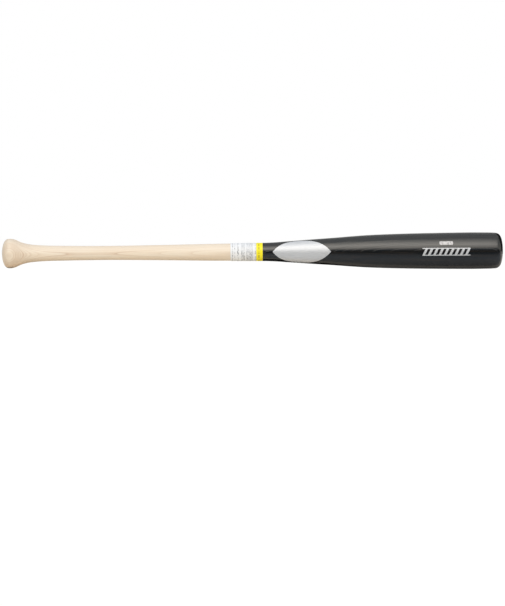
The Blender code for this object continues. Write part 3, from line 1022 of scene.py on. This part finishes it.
print("world:", len(tree.nodes), "nodes")

# %% [markdown]
# ## The lamp
#
# The barrel is a long mirror, so the photograph shows what stood round it. The bright band along it
# is a broad soft light above the camera. One area lamp makes it. If the lamp were equally bright
# all over, the band would be flat and end in hard edges, so it fades towards its top, its bottom
# and its two sides: a ramp over its height, times a sum over its length.

# %% Softbox
SOFTBOX_DISTANCE = 1.4
SOFTBOX_LIFT = math.radians(45)
SOFTBOX_LENGTH = 2.6
SOFTBOX_HEIGHT = 1.6
SOFTBOX_GLOW = 2.5
SOFTBOX_COLOUR = (1.0, 0.95, 0.88)
SIDE_FADE = 3.6
SOFTBOX_GREYS = [
    (0.0, 0.11), (0.12, 0.42), (0.27, 0.68), (0.42, 1.02), (0.54, 0.88), (0.76, 0.44), (1.0, 0.22),
]

lamp = bpy.data.lights.new("softbox", "AREA")
lamp.shape = "RECTANGLE"
lamp.size = SOFTBOX_LENGTH
lamp.size_y = SOFTBOX_HEIGHT
lamp.energy = SOFTBOX_GLOW * math.pi * SOFTBOX_LENGTH * SOFTBOX_HEIGHT
lamp.color = SOFTBOX_COLOUR
lamp.use_nodes = True
tree = lamp.node_tree
on_lamp = wire(tree, "ShaderNodeNewGeometry").outputs["Parametric"]
across, up, _ = wire(tree, "ShaderNodeSeparateXYZ", {0: on_lamp}).outputs
fade = colour_ramp(tree, up, [(height, grey(level)) for height, level in SOFTBOX_GREYS])
off_middle = calc(tree, "SUBTRACT", across, 0.5)
squared = calc(tree, "MULTIPLY", off_middle, off_middle)
sideways = calc(tree, "MULTIPLY_ADD", squared, -SIDE_FADE, 1.0)
strength = calc(tree, "MULTIPLY", fade, sideways)
tree.links.new(strength, tree.nodes["Emission"].inputs["Strength"])
softbox = bpy.data.objects.new("softbox", lamp)
bpy.context.scene.collection.objects.link(softbox)
softbox.location = (
    0.0,
    -SOFTBOX_DISTANCE * math.cos(SOFTBOX_LIFT),
    middle_height + SOFTBOX_DISTANCE * math.sin(SOFTBOX_LIFT),
)
softbox.rotation_euler = (math.pi / 2 - SOFTBOX_LIFT, 0.0, 0.0)
softbox.visible_camera = False
print(f"softbox lamp {lamp.energy:.1f} W")

# %% [markdown]
# ## Dark things for the mirror
#
# The same mirror is dark in three places: below the bright band, round the rim of the barrel's end
# and along the lowest edge. In a studio, black cards and cloths do that, and three do it here. A
# card lies in front of the bat and rises towards the camera, with greys across it that follow the
# bands in the lacquer. A flag stands behind the barrel's end, and an underlay lies on the floor
# below the grip and the taper. All three show only in mirrors, so they take no light from the wood
# and throw no shadow.


# %% The card in front
def only_in_mirrors(thing):
    """Hides a thing from the camera and from soft light, and takes its shadow away."""
    thing.visible_camera = False
    thing.visible_diffuse = False
    thing.visible_shadow = False


CARD_PROFILE = [(-1.0, 0.27), (-0.09, 0.0005), (-0.015, 0.0003)]
CARD_HALF_LENGTH = 1.2
COOL = (0.92, 1, 1.1)
CARD_GREYS = [
    (0.5, 0.36), (0.68, 0.17), (0.80, 0.05), (0.865, 0.03), (0.903, 0.13), (0.943, 0.31),
    (0.96, 0.42),
]
FAR_GREY = 0.55
NEAR_GREY = 0.5

ENDS_OF_CARD = (-CARD_HALF_LENGTH, CARD_HALF_LENGTH)
corners = [(end, y, z) for y, z in CARD_PROFILE for end in ENDS_OF_CARD]
card = new_piece("black_card", corners, faces=[(0, 2, 3, 1), (2, 4, 5, 3)])
black, tree, shader = finish("black card", Specular_IOR_Level=0.0)
place = wire(tree, "ShaderNodeTexCoord").outputs["Object"]
_, depth, _ = wire(tree, "ShaderNodeSeparateXYZ", {0: place}).outputs
stops = [(depth_share, grey(level, COOL)) for depth_share, level in CARD_GREYS]
stops = [(0.0, grey(FAR_GREY)), *stops, (1.0, grey(NEAR_GREY))]
shade = colour_ramp(tree, rescale(tree, depth, CARD_PROFILE[0][0], 0.0), stops)
tree.links.new(shade, shader.inputs["Base Color"])
card.data.materials.append(black)
only_in_mirrors(card)
card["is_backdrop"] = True
print("card:", len(stops), "greys")

# %% The flag behind and the underlay below
FLAG_PROFILE = [(1.35, 0.1), (1.05, 0.7), (0.62, 1.0)]
FLAG_HEIGHT = 1.2
UNDERLAY_DROP = 0.0001
UNDER_GRIP = [(-0.38, -0.015), (-0.045, -0.015), (-0.045, 0.04), (-0.38, 0.04)]
UNDER_TAPER = [(0.01, -0.010), (0.25, 0.0), (0.01, 0.038)]
CLOTH_BLACK = 0.004

corners = [(x, y, z) for x, y in FLAG_PROFILE for z in (0.0, FLAG_HEIGHT)]
flag = new_piece("black_flag", corners, faces=[(0, 2, 3, 1), (2, 4, 5, 3)])
corners = [(x, y, -UNDERLAY_DROP) for x, y in UNDER_GRIP + UNDER_TAPER]
underlay = new_piece("black_underlay", corners, faces=[(0, 1, 2, 3), (4, 5, 6)])
dark, _, _ = finish("black flag", Base_Color=grey(CLOTH_BLACK), Specular_IOR_Level=0.0)
for dark_piece in (flag, underlay):
    dark_piece.data.materials.append(dark)
    only_in_mirrors(dark_piece)
    dark_piece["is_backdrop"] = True
    print(f"{dark_piece.name}: {len(dark_piece.data.polygons)} faces")

# %% [markdown]
# ## Colours as written
#
# Blender's usual view bends colours the way film does, which would grey the white ground. The
# Standard view shows each colour as it is written, and nothing else about the view is changed.

# %% Plain view
bpy.context.scene.view_settings.view_transform = "Standard"
print("view:", bpy.context.scene.view_settings.view_transform)

# %% [markdown]
# ## Sizes and finish
#
# Both boxes are printed, the measured pieces' and the finer pieces', in millimetres.

# %% Print both boxes and finish
visual_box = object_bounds()
for name, box in (("measured", CAD_BOX), ("dressed", visual_box)):
    print(name, [round(1000 * side, 2) for side in box[1] - box[0]], "mm")
